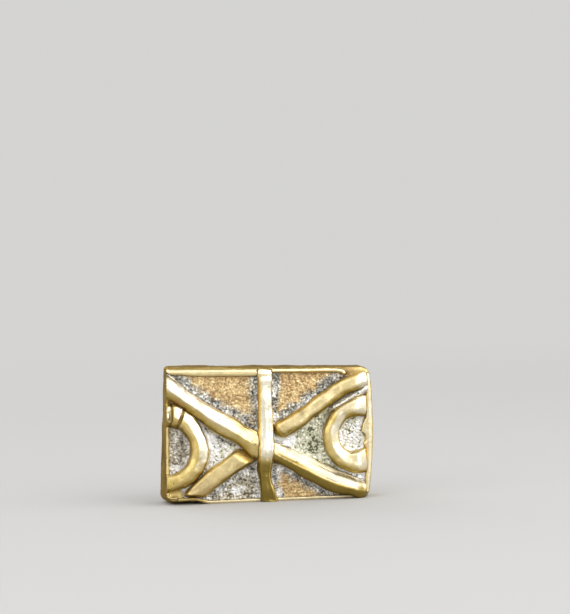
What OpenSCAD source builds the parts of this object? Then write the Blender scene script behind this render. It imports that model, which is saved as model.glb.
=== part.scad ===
// Geometric gold weight: a small brass plaque, lost-wax cast.
// The wax model is a cut slab with rolled wax threads and rim strips laid on its
// face, and every one of those wax pieces is a solid of its own here.
// X runs along the long edge, Y from the face to the back, Z up the short edge.
// The origin lies under the middle of the lower long edge, on which the plaque stands.

/* [Slab] */
// Width between the outermost points of the two short edges
slab_w = 21.3; // [19:0.1:24]
// Height of the left edge
slab_h_left = 13.65; // [12.6:0.05:15]
// Height of the right edge
slab_h_right = 13; // [12.6:0.05:15]
// Thickness from the face to the back
slab_t = 3.8; // [2.4:0.1:6]
// How far the left edge leans in towards the top
left_lean = 0.85; // [0:0.05:1.2]
// How far the right edge bulges between its corners
right_bulge = 0.45; // [0.1:0.05:0.8]
// How far the right edge leans out towards the top
right_lean = 0.4; // [0:0.05:0.6]
// Rounding of the lower left and upper right corners
soft_corner_r = 0.8; // [0.4:0.05:1.2]
// Rounding of the upper left and lower right corners
crisp_corner_r = 0.35; // [0.2:0.05:0.8]
// Rounding of the edges round the back
back_round = 0.4; // [0.1:0.05:0.8]

/* [Centre rib] */
// How far the rib stands to the right of the slab's middle
rib_x = -0.05; // [-1:0.05:1]
// Width of the rib above the crossing
rib_w = 1.45; // [1.2:0.05:1.8]
// Width of the rib's neck, between the crossing and the foot
rib_neck_w = 1.1; // [0.9:0.05:1.6]
// Width of the rib where it is pressed over the diagonal
rib_belly_w = 1.6; // [1.4:0.05:2.2]
// Width of the foot where the rib spreads on the lower edge
rib_foot_w = 1.7; // [1.3:0.05:2.4]
// Height of the rib above the face
rib_h = 1.35; // [1:0.05:1.8]
// Height of the rib where it rides over the diagonal
rib_saddle_h = 1.7; // [1.5:0.05:2.2]
// How far the rib sways from a straight line
rib_sway = 0.1; // [0:0.01:0.2]

/* [Diagonal] */
// Height above the lower edge at which the diagonal passes under the rib
cross_z = 5.3; // [4.8:0.1:5.8]
// Width of the diagonal's left half
diagonal_w = 1.8; // [1.4:0.05:2.1]
// Width of the diagonal's right half
diagonal_tail_w = 1.6; // [1.2:0.05:2]
// Width to which the diagonal spreads in the upper left corner
diagonal_flare_w = 2.5; // [1.8:0.05:2.8]
// Height of the diagonal above the face
diagonal_h = 1.4; // [1:0.05:1.8]
// Height to which the rib presses the diagonal down
diagonal_pressed_h = 1; // [0.8:0.05:1.2]
// How far the diagonal starts below the upper left corner
diagonal_drop = 1.8; // [1.2:0.05:2.2]
// Height at which the diagonal runs off the right edge
diagonal_end_z = 0.45; // [0.2:0.05:1]
// Sag of the diagonal's left half below a straight line
left_sag = 0.3; // [0:0.05:0.5]
// Sag of the diagonal's right half below a straight line
right_sag = 0.6; // [0:0.05:0.8]

/* [Arms] */
// Width of the upper arm
upper_arm_w = 1.7; // [1.3:0.05:2]
// Width of the lower arm
lower_arm_w = 1.5; // [1.2:0.05:1.8]
// Height of the two short arms above the face
arm_h = 1.4; // [1:0.05:1.8]
// Space between the rib and the round end of the upper arm
arm_gap = 0.15; // [0.1:0.05:0.8]
// How far the upper arm's round end lies above the crossing
arm_rise = 1.6; // [1.4:0.05:2.2]
// How far the upper arm ends below the upper right corner
arm_drop = 1.15; // [0.9:0.05:1.6]
// Bow of the upper arm above a straight line
arm_bow = 0.7; // [0:0.05:0.9]
// How far the lower arm's inner end lies to the left of the crossing
arm_tuck = 1.25; // [1:0.05:1.8]
// Height of the lower arm's outer end above the lower edge
arm_foot_z = 0.45; // [0.3:0.05:0.8]
// How far in from the left edge the lower arm's outer end lies
arm_foot_in = 2.05; // [1.5:0.05:2.6]

/* [Crescents] */
// Height of the crescents above the face
crescent_h = 1.4; // [1:0.05:1.8]
// Radius of the left crescent, to the middle of its thread
left_crescent_r = 3.32; // [2.8:0.02:3.6]
// Width of the left crescent's thread
left_crescent_w = 1.8; // [1.5:0.05:2.1]
// How much wider the left crescent is by its scribed marks
left_crescent_swell = 0.4; // [0:0.05:0.5]
// Height of the left crescent's centre above the lower edge
left_crescent_z = 5.45; // [5:0.05:6]
// Distance from the left crescent's centre to the left edge
left_crescent_in = 0.26; // [0.1:0.02:0.6]
// Radius of the right crescent, to the middle of its thread
right_crescent_r = 2.85; // [2.5:0.05:3.2]
// Width of the right crescent's thread
right_crescent_w = 1.65; // [1.4:0.05:2]
// Height of the right crescent's centre above the lower edge
right_crescent_z = 6.2; // [5.8:0.05:6.8]
// Distance from the right crescent's centre to the right edge
right_crescent_in = 1.42; // [1.1:0.02:2]

/* [Scribed marks] */
// Width of the marks across the left crescent
mark_w = 0.34; // [0.2:0.02:0.5]
// Depth of the marks
mark_depth = 0.24; // [0.1:0.02:0.4]
// Angle of the lower mark above the crescent's middle
mark_angle = 65; // [50:1:68]
// Angle between the two marks
mark_step = 18; // [10:1:18]

/* [Rims] */
// Width of the strip on the upper edge, left of the rib
top_left_rim_w = 0.66; // [0.4:0.02:0.9]
// Width of the strip on the upper edge, right of the rib
top_right_rim_w = 0.52; // [0.3:0.02:0.8]
// Height of the upper strips above the face
top_rim_h = 0.6; // [0.3:0.05:1]
// Distance from the upper right corner to the end of the right upper strip
top_rim_end = 2.4; // [1.6:0.1:4]
// Width of the strip on the right edge, at its ends
right_rim_end_w = 0.4; // [0.3:0.02:0.6]
// Width of the strip on the right edge, at the middle of its length
right_rim_w = 0.8; // [0.4:0.02:1]
// Height of the right strip above the face
right_rim_h = 0.55; // [0.3:0.05:1]
// Width of the strip on the left edge, in the crescent's mouth
left_rim_w = 0.24; // [0.2:0.01:0.5]
// Height of the left strip above the face
left_rim_h = 0.3; // [0.2:0.05:0.8]
// Width of the strip round the lower left corner
corner_rim_w = 0.36; // [0.25:0.01:0.6]
// Height of the corner strip above the face
corner_rim_h = 0.4; // [0.25:0.05:0.8]
// Width of the two strips on the lower edge
bottom_rim_w = 0.32; // [0.2:0.02:0.6]
// Height of the lower strips above the face
bottom_rim_h = 0.3; // [0.2:0.05:0.6]

/* [Hidden] */

worn_brass = [0.80, 0.68, 0.38];
pale_brass = [0.88, 0.80, 0.52];
brown_brass = [0.56, 0.43, 0.25];

// Hairline between a strip and the edge it follows, and between a strip and a thread's end
seam = 0.03;
// How far a cutting tool runs past what it cuts
overrun = 1;
// Share by which the width of a rolled thread wanders, and how many times it does
wander = 0.03;
wander_waves = 2.5;
// Share of a thread's size that is left at the tip of a round end
tip_share = 0.2;
// A thread's section keeps at least this share of its radius as its foot
foot_share = 0.45;
// Share of its run by which a thread goes on past the edge that trims it
run_off = 0.08;
// Share of a rounding's radius by which the rounding's middle lies inside the square corner
corner_in = 1 - sqrt(0.5);
// Shares of the rib's upper run at which its belly ends and its even stretch begins
rib_belly_end = 0.25;
rib_even_start = 0.65;
// Steps along a thread, along a bent strip, along a straight strip, over a section's round top,
// on a corner and on the bulge of the right edge
thread_steps = 22;
strip_steps = 12;
straight_steps = 2;
section_steps = 10;
corner_steps = 6;
bulge_steps = 10;
// Degrees between the rings that round the back edges
back_step = 30;
$fn = 64;

half_w = slab_w / 2;
crest_h = max(rib_saddle_h, rib_h, diagonal_h, arm_h, crescent_h);
// The middle of the whole depth, from the highest crest to the back, lies at Y zero
back_y = (slab_t + crest_h) / 2;
face_y = back_y - slab_t;

// Corners of the slab, seen from the front, as X and Z
lower_left = [-half_w, 0];
lower_right = [half_w - right_bulge - right_lean / 2, 0];
upper_right = [half_w - right_bulge + right_lean / 2, slab_h_right];
upper_left = [-half_w + left_lean, slab_h_left];

function mix(a, b, t) = a + (b - a) * t;
function left_edge_x(z) = mix(lower_left, upper_left, z / slab_h_left)[0];
function top_edge_z(x) =
    mix(upper_left, upper_right, (x - upper_left[0]) / (upper_right[0] - upper_left[0]))[1];

// The bulge of the right edge is a shallow arc through both right corners
bulge_r = (pow(slab_h_right / 2, 2) + pow(right_bulge, 2)) / (2 * right_bulge);
function right_edge_x(z) =
    half_w - bulge_r + sqrt(pow(bulge_r, 2) - pow(z - slab_h_right / 2, 2))
        + right_lean * (z / slab_h_right - 0.5);
// The right strip swells from its ends to its middle
function right_rim_w_at(z) =
    mix(right_rim_end_w, right_rim_w, pow(sin(180 * z / slab_h_right), 2));

// Points of a round corner at b, on the way from a to c
function corner(a, b, c, r) =
    let (u = (a - b) / norm(a - b),
         v = (c - b) / norm(c - b),
         half_angle = acos(u * v) / 2,
         turn = 180 - 2 * half_angle,
         centre = b + (u + v) / norm(u + v) * r / sin(half_angle),
         p = b + u * r / tan(half_angle) - centre,
         q = b + v * r / tan(half_angle) - centre)
    [for (i = [0 : corner_steps])
        let (t = i / corner_steps)
        centre + (p * sin((1 - t) * turn) + q * sin(t * turn)) / sin(turn)];

// The slab's outline, or with inside set the outline of the field beside the right strip
function outline(inside = false) =
    let (low = crisp_corner_r * 2,
         high = slab_h_right - soft_corner_r * 2,
         bulge = [for (i = [0 : bulge_steps])
             let (z = mix(low, high, i / bulge_steps),
                  right_in = inside ? right_rim_w_at(z) + 2 * seam : 0)
             [right_edge_x(z) - right_in, z]],
         a = lower_left,
         b = inside ? [bulge[0][0], 0] : lower_right,
         c = inside ? [bulge[bulge_steps][0], slab_h_right] : upper_right,
         d = upper_left)
    concat(
        corner(d, a, b, soft_corner_r),
        corner(a, b, bulge[0], crisp_corner_r),
        bulge,
        corner(bulge[bulge_steps], c, d, soft_corner_r),
        corner(c, d, a, crisp_corner_r));

// The slab's outline at a depth below the face, drawn in on all sides
function slab_ring(depth, inset) =
    let (size = [slab_w, min(slab_h_left, slab_h_right)],
         middle = [0, size[1] / 2])
    [for (p = outline())
        [middle[0] + (p[0] - middle[0]) * (1 - 2 * inset / size[0]),
         face_y + depth,
         middle[1] + (p[1] - middle[1]) * (1 - 2 * inset / size[1])]];

// Smooth curve through stations of X, Z, width and height, for t from 0 to 1
function curve(stations, t) =
    let (n = len(stations) - 1,
         i = min(floor(t * n), n - 1),
         u = t * n - i,
         b = stations[i],
         c = stations[i + 1],
         a = i > 0 ? stations[i - 1] : 2 * b - c,
         d = i < n - 1 ? stations[i + 2] : 2 * c - b)
    (2 * b + (c - a) * u + (2 * a - 5 * b + 4 * c - d) * pow(u, 2)
        + (3 * b - a - 3 * c + d) * pow(u, 3)) / 2;

// A thread's section: a circle of its width, cut flat at the face and sunk by that much more
function section(w, h, sink) =
    let (r = w / 2,
         foot = max(foot_share, sqrt(max(0, 1 - pow(h / r - 1, 2)))),
         low = h > r ? acos(foot) : -acos(foot),
         round_top = [for (i = [0 : section_steps])
             let (a = mix(-low, 180 + low, i / section_steps))
             [r * cos(a), h * (sin(a) + sin(low)) / (1 + sin(low))]])
    sink > 0 ? concat([[r * foot, -sink]], round_top, [[-r * foot, -sink]]) : round_top;

// How full a thread is at a distance from the tip of a round end
function fullness(distance, w) =
    let (short = max(0, 1 - 2 * distance / w)) max(tip_share, sqrt(1 - pow(short, 2)));

// A solid whose skin runs through rings of as many points each
module loft(rings) {
    count = len(rings[0]);
    last = len(rings) - 1;
    walls = [for (i = [0 : last - 1], j = [0 : count - 1])
        let (a = i * count + j, b = i * count + (j + 1) % count)
        each [[a, b, a + count], [b, b + count, a + count]]];
    first_cap = [for (j = [count - 1 : -1 : 0]) j];
    last_cap = [for (j = [0 : count - 1]) last * count + j];
    polyhedron([for (ring = rings) each ring], concat(walls, [first_cap, last_cap]), convexity = 6);
}

// A rolled thread laid on the face along its stations. An end is round where that is
// set, and otherwise cut square. A strip is a thread whose width does not wander.
module thread(stations, steps, wander = 0, round_start = false, round_end = false, sink = 0) {
    times = [for (i = [0 : steps]) (1 - cos(180 * i / steps)) / 2];
    line = [for (t = times) curve(stations, t)];
    path = [for (p = line) [p[0], p[1]]];
    rings = [for (i = [0 : steps])
        let (ahead = path[min(i + 1, steps)] - path[max(i - 1, 0)],
             side = [ahead[1], -ahead[0]] / norm(ahead),
             w = line[i][2] * (1 + wander * sin(360 * wander_waves * times[i])),
             start = round_start ? fullness(norm(path[i] - path[0]), w) : 1,
             end = round_end ? fullness(norm(path[i] - path[steps]), w) : 1,
             full = min(start, end))
        [for (p = section(w * full, line[i][3] * full, sink))
            [path[i][0] + side[0] * p[0], face_y - p[1], path[i][1] + side[1] * p[0]]]];
    loft(rings);
}

// A prism on an outline, through the whole depth of the plaque
module prism(points) {
    translate([0, back_y + overrun, 0])
        rotate([90, 0, 0])
            linear_extrude(slab_t + crest_h + 2 * overrun) polygon(points);
}

// Trims threads to the slab, or to the field beside the right strip
module trimmed(inside) {
    intersection() {
        children();
        prism(outline(inside));
    }
}

// The rib, from its foot to the upper edge
rib_top_z = top_edge_z(rib_x);
rib_stations = [
    [rib_x + 2 * rib_sway, -overrun / 2, rib_foot_w, rib_h],
    [rib_x, overrun, (rib_neck_w + rib_foot_w) / 2, rib_h],
    [rib_x - 2 * rib_sway, cross_z / 2, rib_neck_w, rib_h],
    [rib_x, cross_z, rib_belly_w, rib_saddle_h],
    [rib_x, mix(cross_z, rib_top_z, rib_belly_end), rib_belly_w, rib_h],
    [rib_x, mix(cross_z, rib_top_z, rib_even_start), rib_w, rib_h],
    [rib_x + rib_sway, rib_top_z + overrun, rib_w, rib_h]
];

// The diagonal, from the upper left corner under the rib to the lower right corner. Each
// station has its share of that half's run, then its sag there.
crossing = [rib_x, cross_z];
diagonal_start = [left_edge_x(slab_h_left), slab_h_left - diagonal_drop];
diagonal_end = [half_w, diagonal_end_z];
function left_half(t, sag, w, h) = concat(mix(diagonal_start, crossing, t) - [0, sag], [w, h]);
function right_half(t, sag, h) = concat(mix(crossing, diagonal_end, t) - [0, sag], [diagonal_tail_w, h]);
diagonal_stations = [
    left_half(-run_off, 0, diagonal_flare_w, diagonal_h),
    left_half(0.2, left_sag / 2, diagonal_w, diagonal_h),
    left_half(0.5, left_sag, diagonal_w, diagonal_h),
    left_half(0.8, left_sag / 2, diagonal_w, diagonal_h),
    right_half(0, 0, diagonal_pressed_h),
    right_half(0.25, right_sag / 2, diagonal_h),
    right_half(0.6, right_sag, diagonal_h),
    right_half(1 + run_off, 0, diagonal_h)
];

// The arms, from their inner to their outer ends. A station of the upper arm has its share
// of the run, then its bow there.
upper_arm_start = crossing + [rib_belly_w / 2 + arm_gap, arm_rise];
upper_arm_end = [half_w, slab_h_right - arm_drop];
lower_arm_start = crossing - [arm_tuck, 0];
lower_arm_end = lower_left + [arm_foot_in, arm_foot_z];
function upper_arm_at(t, bow) =
    concat(mix(upper_arm_start, upper_arm_end, t) + [0, bow], [upper_arm_w, arm_h]);
upper_arm_stations = [
    upper_arm_at(0, 0),
    upper_arm_at(0.3, arm_bow / 4),
    upper_arm_at(0.6, arm_bow),
    upper_arm_at(0.8, arm_bow),
    upper_arm_at(1 + run_off, 0)
];
lower_arm_stations = [for (t = [0, 0.5, 1])
    concat(mix(lower_arm_start, lower_arm_end, t), [lower_arm_w, arm_h])];

// The left crescent, from its lower to its upper end. It swells outwards near the upper end,
// and its ends run straight on to the slab's edge.
left_crescent_centre = [left_edge_x(left_crescent_z) + left_crescent_in, left_crescent_z];
function left_crescent_at(angle, swell, tail = 0) =
    concat(
        left_crescent_centre + (left_crescent_r + swell / 2) * [cos(angle), sin(angle)] - [tail, 0],
        [left_crescent_w + swell, crescent_h]);
left_crescent_stations = concat(
    [left_crescent_at(-90, 0, left_crescent_in + overrun)],
    [for (angle = [-90 : 30 : 30]) left_crescent_at(angle, 0)],
    [left_crescent_at(60, left_crescent_swell),
     left_crescent_at(90, left_crescent_swell / 2),
     left_crescent_at(90, left_crescent_swell / 2, left_crescent_in + overrun)]);

// The strips, each just inside its edge. The left one closes the crescent's mouth. The corner
// one turns round the lower corner from the crescent's tail and stops short of the lower arm,
// and the lower left one starts where it clears that arm.
left_rim_stations = [for (side = [-1, 1])
    let (z = left_crescent_z + side * left_crescent_r)
    [left_edge_x(z) + left_rim_w / 2 + seam, z, left_rim_w, left_rim_h]];
corner_rim_in = corner_rim_w / 2 + seam;
corner_rim_points = [
    [left_edge_x(left_crescent_z - left_crescent_r) + corner_rim_in, left_crescent_z - left_crescent_r],
    lower_left + [corner_rim_in, soft_corner_r],
    lower_left + [1, 1] * (soft_corner_r * corner_in + corner_rim_in * sqrt(0.5)),
    [lower_arm_end[0] - lower_arm_w / 4, corner_rim_in]
];
corner_rim_stations = [for (p = corner_rim_points) concat(p, [corner_rim_w, corner_rim_h])];
arm_slope = (lower_arm_start - lower_arm_end)[1] / (lower_arm_start - lower_arm_end)[0];
arm_half_rise = lower_arm_w / 2 * (1 + wander) * sqrt(1 + pow(arm_slope, 2));
bottom_left_start = lower_arm_end[0]
    + (bottom_rim_w + 2 * seam + arm_half_rise - arm_foot_z) / arm_slope;
right_rim_stations = [for (t = [0 : 0.2 : 1])
    let (z = mix(crisp_corner_r, slab_h_right - soft_corner_r, t), w = right_rim_w_at(z))
    [right_edge_x(z) - w / 2 - seam, z, w, right_rim_h]];
function top_station(x, w, dip = 0) = [x, top_edge_z(x) - w / 2 - seam - dip, w, top_rim_h];
top_right_end_x = upper_right[0] - top_rim_end;
top_left_rim_stations = [for (x = [upper_left[0], rib_x]) top_station(x, top_left_rim_w)];
top_right_rim_stations = [
    top_station(rib_x, top_right_rim_w),
    top_station(mix(rib_x, top_right_end_x, 0.5), top_right_rim_w),
    top_station(top_right_end_x - top_right_rim_w, top_right_rim_w),
    top_station(top_right_end_x, top_right_rim_w, top_right_rim_w)
];
function bottom_stations(from, to) =
    [for (x = [from, to]) [x, bottom_rim_w / 2 + seam, bottom_rim_w, bottom_rim_h]];

// The threads before they are trimmed and notched, also used to cut what meets them
module rib_thread(sink = 0) {
    thread(rib_stations, thread_steps, wander, sink = sink);
}
module diagonal_thread(sink = 0) {
    thread(diagonal_stations, thread_steps, wander, sink = sink);
}
module upper_arm_thread(sink = 0) {
    thread(upper_arm_stations, thread_steps, wander, round_start = true, sink = sink);
}
module lower_arm_thread(sink = 0) {
    thread(lower_arm_stations, thread_steps, wander, round_end = true, sink = sink);
}
module left_crescent_thread(sink = 0) {
    thread(left_crescent_stations, thread_steps, wander, sink = sink);
}

// A crescent's section, beside the axis that it turns about
module crescent_section(r, w) {
    intersection() {
        translate([r, crescent_h - w / 2]) circle(w / 2);
        translate([r - w, 0]) square([2 * w, crescent_h + overrun]);
    }
}

// A half ring about the origin on the face, open to the right, with straight tails
module half_ring(r, w, tail) {
    rotate([90, 0, 0])
        rotate([0, 0, 90])
            rotate_extrude(angle = 180) crescent_section(r, w);
    for (side = [0, 1])
        mirror([0, 0, side])
            rotate([180, -90, 0])
                linear_extrude(tail) crescent_section(r, w);
}

// A round groove across the crest of the left crescent, along its radius
module scribed_mark(angle) {
    translate([left_crescent_centre[0], face_y, left_crescent_centre[1]])
        rotate([0, -angle, 0])
            translate([left_crescent_r - left_crescent_w, mark_depth - mark_w / 2 - crescent_h, 0])
                rotate([0, 90, 0])
                    cylinder(d = mark_w, h = 2 * left_crescent_w);
}

module slab() {
    color(brown_brass)
        loft(concat(
            [slab_ring(0, 0)],
            [for (a = [0 : back_step : 90])
                slab_ring(slab_t - back_round * (1 - sin(a)), back_round * (1 - cos(a)))]));
}

module centre_rib() {
    color(pale_brass)
        difference() {
            trimmed(false) rib_thread();
            diagonal_thread(overrun);
        }
}

module long_diagonal() {
    color(pale_brass)
        trimmed(true) diagonal_thread();
}

module upper_right_arm() {
    color(worn_brass)
        difference() {
            trimmed(true) upper_arm_thread();
            rib_thread(overrun);
            diagonal_thread(overrun);
        }
}

module lower_left_arm() {
    color(worn_brass)
        difference() {
            trimmed(true) lower_arm_thread();
            rib_thread(overrun);
            diagonal_thread(overrun);
        }
}

module left_crescent() {
    color(worn_brass)
        difference() {
            trimmed(true) left_crescent_thread();
            for (i = [0, 1]) scribed_mark(mark_angle + i * mark_step);
            diagonal_thread(overrun);
            lower_arm_thread(overrun);
        }
}

module right_crescent() {
    color(worn_brass)
        difference() {
            trimmed(true)
                translate([right_edge_x(right_crescent_z) - right_crescent_in, face_y, right_crescent_z])
                    half_ring(right_crescent_r, right_crescent_w, right_crescent_in);
            diagonal_thread(overrun);
            upper_arm_thread(overrun);
        }
}

module left_rim() {
    color(pale_brass)
        difference() {
            thread(left_rim_stations, straight_steps);
            left_crescent_thread(overrun);
        }
}

module corner_rim() {
    color(pale_brass)
        difference() {
            thread(corner_rim_stations, strip_steps, round_end = true);
            left_crescent_thread(overrun);
        }
}

module right_rim() {
    color(pale_brass)
        thread(right_rim_stations, strip_steps, round_start = true, round_end = true);
}

module top_left_rim() {
    color(pale_brass)
        difference() {
            trimmed(false) thread(top_left_rim_stations, straight_steps);
            rib_thread(overrun);
            diagonal_thread(overrun);
        }
}

module top_right_rim() {
    color(pale_brass)
        difference() {
            thread(top_right_rim_stations, strip_steps, round_end = true);
            rib_thread(overrun);
            upper_arm_thread(overrun);
        }
}

module bottom_left_rim() {
    color(pale_brass)
        difference() {
            thread(bottom_stations(bottom_left_start, rib_x), straight_steps);
            rib_thread(overrun);
        }
}

module bottom_right_rim() {
    color(pale_brass)
        difference() {
            thread(bottom_stations(rib_x, lower_right[0] - crisp_corner_r), straight_steps);
            rib_thread(overrun);
            diagonal_thread(overrun);
        }
}

slab();
centre_rib();
long_diagonal();
upper_right_arm();
lower_left_arm();
left_crescent();
right_crescent();
left_rim();
corner_rim();
right_rim();
top_left_rim();
top_right_rim();
bottom_left_rim();
bottom_right_rim();
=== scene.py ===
"""Looks of a cast brass gold weight: a slab with a relief of rolled threads, worn by handling."""
import itertools
import math
from types import SimpleNamespace

import bpy
import numpy as np
from mathutils import Matrix, Vector, kdtree


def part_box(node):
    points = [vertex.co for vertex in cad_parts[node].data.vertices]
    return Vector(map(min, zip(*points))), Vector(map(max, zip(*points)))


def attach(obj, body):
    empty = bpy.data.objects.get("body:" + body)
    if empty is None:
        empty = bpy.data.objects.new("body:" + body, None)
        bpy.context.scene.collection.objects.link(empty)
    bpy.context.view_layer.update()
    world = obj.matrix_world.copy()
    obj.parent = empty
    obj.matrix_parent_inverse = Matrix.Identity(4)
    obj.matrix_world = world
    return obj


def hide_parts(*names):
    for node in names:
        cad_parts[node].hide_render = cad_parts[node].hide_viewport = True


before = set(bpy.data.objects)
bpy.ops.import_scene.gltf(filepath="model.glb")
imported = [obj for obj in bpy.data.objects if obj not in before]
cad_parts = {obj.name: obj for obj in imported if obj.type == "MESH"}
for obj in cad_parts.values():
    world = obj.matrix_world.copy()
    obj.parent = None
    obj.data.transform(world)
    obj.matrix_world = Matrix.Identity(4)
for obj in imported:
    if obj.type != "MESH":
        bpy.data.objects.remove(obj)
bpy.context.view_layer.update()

MM = 0.001
SEED = 7

THREADS = [
    "centre_rib", "long_diagonal", "upper_right_arm", "lower_left_arm", "left_crescent",
    "right_crescent",
]
RIMS = [
    "left_rim", "corner_rim", "right_rim", "top_left_rim", "top_right_rim", "bottom_left_rim",
    "bottom_right_rim",
]
TOP_STRIPS = ("top_left_rim", "top_right_rim")

# In millimetres. Places on the face are X and Z. The face lies at FACE_Y, the relief rises towards -Y.
SLAB_LOW, SLAB_HIGH = (np.array(corner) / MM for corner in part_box("slab"))
FACE_Y = SLAB_LOW[1]
RIB_X = sum(corner.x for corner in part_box("centre_rib")) / 2 / MM
# Height of the crossing, and how steeply the threads leave it to the left and right
CROSS_Z = 5.3
LEFT_SLOPE, RIGHT_SLOPE = 0.66, 0.5
# The right field is this much wider than the slope says, and its middle this much higher
RIGHT_WIDER, RIGHT_HIGHER = 0.6, 0.5
# The recess inside each crescent, as X, Z and radius
LEFT_RECESS = (-10.0, 5.45, 2.7)
RIGHT_RECESS = (9.4, 6.2, 2.3)
# Height above the face from which a point lies on a thread's front
THREAD_FRONT = 0.3
# How much of a normal points in a direction, from not facing it to facing it, and the least used
FACING, LEAST_FACING = (0.5, 0.9), 0.01

# Edge length of the even meshes, and the rounds of smoothing on them
SLAB_VOXEL, SLAB_ROUNDS = 0.095, 3
THREAD_VOXEL, THREAD_ROUNDS = 0.075, 5
RIM_VOXEL, RIM_ROUNDS = 0.06, 4
# Rounds of softening on a worn thread
SOFTENED = 3
DIAGONAL_SOFTENED = 8
# Rounds of evening that show the slab's ridges
RIDGE_ROUNDS = 6

# How deep threads and strips are rooted, over which heights, and how far inside the left side
ROOT_DEPTH = 0.18
ROOT_HEIGHTS = (0.02, 0.12)
ROOT_INSET = 0.12
# Length over which a thread's end is squared on the left side
LEFT_END = 0.16
# Length over which a thread's end goes down to the right strip, how far it reaches and how deep
RIGHT_END = 1.1
RIGHT_REACH = 0.14
RIGHT_BEND = 0.5

# Flanks that are wider than packed: the way each faces, the axis to go along, places on it, amounts
WIDENED = [
    ("long_diagonal", (0.45, 0, 0.89), 0, (
        (-9.4, -7.8, -6.5, -5.1, -3.85, -2.6, -1.2, 0.8, 2, 5, 8, 9.8),
        (0, -0.18, -0.03, 0.1, 0.22, 0.2, 0.14, 0.2, 0.4, 0.5, 0.32, 0.1),
    )),
    ("long_diagonal", (-0.45, 0, -0.89), 0, (
        (-7.5, -6.15, -5.3, -4.2, -3, -2.3, -1.4, -0.7, 0.8, 3, 6, 9),
        (0, 0.15, 0.26, 0.24, 0.25, 0.36, 0.62, 0.6, 0, 0.14, 0.14, 0),
    )),
    ("lower_left_arm", (-0.6, 0, 0.8), 2, ((0.4, 1.8, 3.0, 4.8, 5.4), (-0.05, 0.14, 0.3, 0.32, 0))),
    ("lower_left_arm", (0.6, 0, -0.8), 2, ((0.5, 1.4, 2.4, 3.2, 4.2), (0.3, 0.15, 0.05, 0.15, 0.28))),
    ("centre_rib", (-1, 0, 0), 2, ((0, 1.5, 3.5, 6.5, 10, 11), (0.1, 0.18, 0.26, 0.18, 0.05, 0))),
]
# How much of a normal has to face a flank's way for the flank to move
SWELL_FACING = (0.1, 0.7)
# Tilts of the diagonal's upper half left and right of the rib, the distances from the rib and the
# heights over which they begin, and the largest share of the height that they take
FACET_TILTS = ((-1, 0.2), (1, 0.45))
TILT_BESIDE = (0.5, 2.0)
TILT_HEIGHTS = (0.1, 0.9)
TILT_LIMIT = 0.35
# Swollen ends of the crescents: height of the crescent's middle, distances from the weight's middle
# over which the end begins, upper or lower end, and the flanks with their amounts
END_SWELLS = [
    ("right_crescent", RIGHT_RECESS[1], (7.6, 10), 1, ((1, 0.3), (-1, 0.1))),
    ("right_crescent", RIGHT_RECESS[1], (7.0, 10.3), -1, ((1, 0.85),)),
    ("left_crescent", LEFT_RECESS[1], (7.8, 9.2), 1, ((1, 0.32),)),
    ("left_crescent", LEFT_RECESS[1], (8.0, 9.6), -1, ((-1, -0.2),)),
]
# How far the lower arm's outer end stands further right than packed, and over which X
ARM_SHIFT = 0.25
ARM_SHIFT_X = (-8.5, -2.0)
# The heights over which the lower arm's foot dips into the lower lip, and how deep
ARM_FOOT_Z = (0.3, 0.9)
ARM_FOOT_DIP = 0.85
# Where the lower arm's inner end dips under the diagonal: a point and the normal of that line, the
# distances across it, and how deep
ARM_DIP_POINT, ARM_DIP_NORMAL = (-2.02, 4.55), (0.57, 0.82)
ARM_DIP_RANGE = (-0.75, 0.65)
ARM_DIP = 0.8
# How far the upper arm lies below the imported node
ARM_DROP = 0.1
# How far the lower lip's left end runs on, how far it rises, over which X, and the height of its foot
LIP_REACH = 1.9
LIP_RISE = 0.2
LIP_END_X = (-6.9, -5.0)
LIP_FOOT = 0.02
# The heights over which the rib's upper and lower ends dip, and how deep
RIB_TOP_Z, RIB_TOP_DIP = (12.0, 13.2), 0.5
RIB_FOOT_Z, RIB_FOOT_DIP = (0, 1.4), 0.3
# How far the rib's upper end keeps below the upper edge, and over which heights
RIB_SHORT = 0.25
RIB_SHORT_Z = (12.3, 13.3)

# How far a strip's outer flank goes out to the slab's side, and which way
STRIP_FLUSH = 0.07
FLUSH_FACING = (0.2, 0.8)
STRIP_SIDES = {
    "bottom_left_rim": (0, 0, -1),
    "bottom_right_rim": (0, 0, -1),
    "right_rim": (1, 0, 0),
    "left_rim": (-1, 0, 0),
}
# The right strip's upper end goes up to the corner from this height, by this much
STRIP_END_Z, STRIP_END_RISE = 11, 0.4
# The right strip's inner edge: its bulge as X, Z and radius and by how much, and its ragged stretch
STRIP_BULGE, BULGE_WIDTH = (10.2, 7.0, 1.1), 0.35
STRIP_RAGGED, RAGGED_WIDTH, RAGGED_SIZE = (10.2, 6.2, 5), 0.25, 0.9
# How much wider the upper left strip grows, over which X, and how far the upper flanks are set back
TOP_LEFT_WIDER, TOP_LEFT_X = 0.2, (-10, -6)
TOP_SET_BACK = 0.09

# How far the left side leans in towards the face at its lower end, and how far that reaches inwards
LEFT_DRAFT = 0.5
DRAFT_REACH = 2.4
# How far the lower side leans in at its left end, over which X, how far up, and how near to the face
LOWER_DRAFT = 0.4
LOWER_DRAFT_X = (-7.6, -5.6)
LOWER_DRAFT_REACH = 1.8
LOWER_DRAFT_POWER = 4

# Reach and height of the fillets by which the floor rises to threads and strips
THREAD_FILLET = (0.5, 0.42)
RIM_FILLET = (0.3, 0.16)
# The upper right corner is smooth: its middle as X and Z, its radius and its rise
SMOOTH_CORNER = (9.3, 13.0, 2.0)
CORNER_RISE = 0.3
# How far the face leans back above the upper strips, and how far above them that begins
ARRIS_LEAN = 0.12
ARRIS_ABOVE = (0.05, 0.2)
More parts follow.
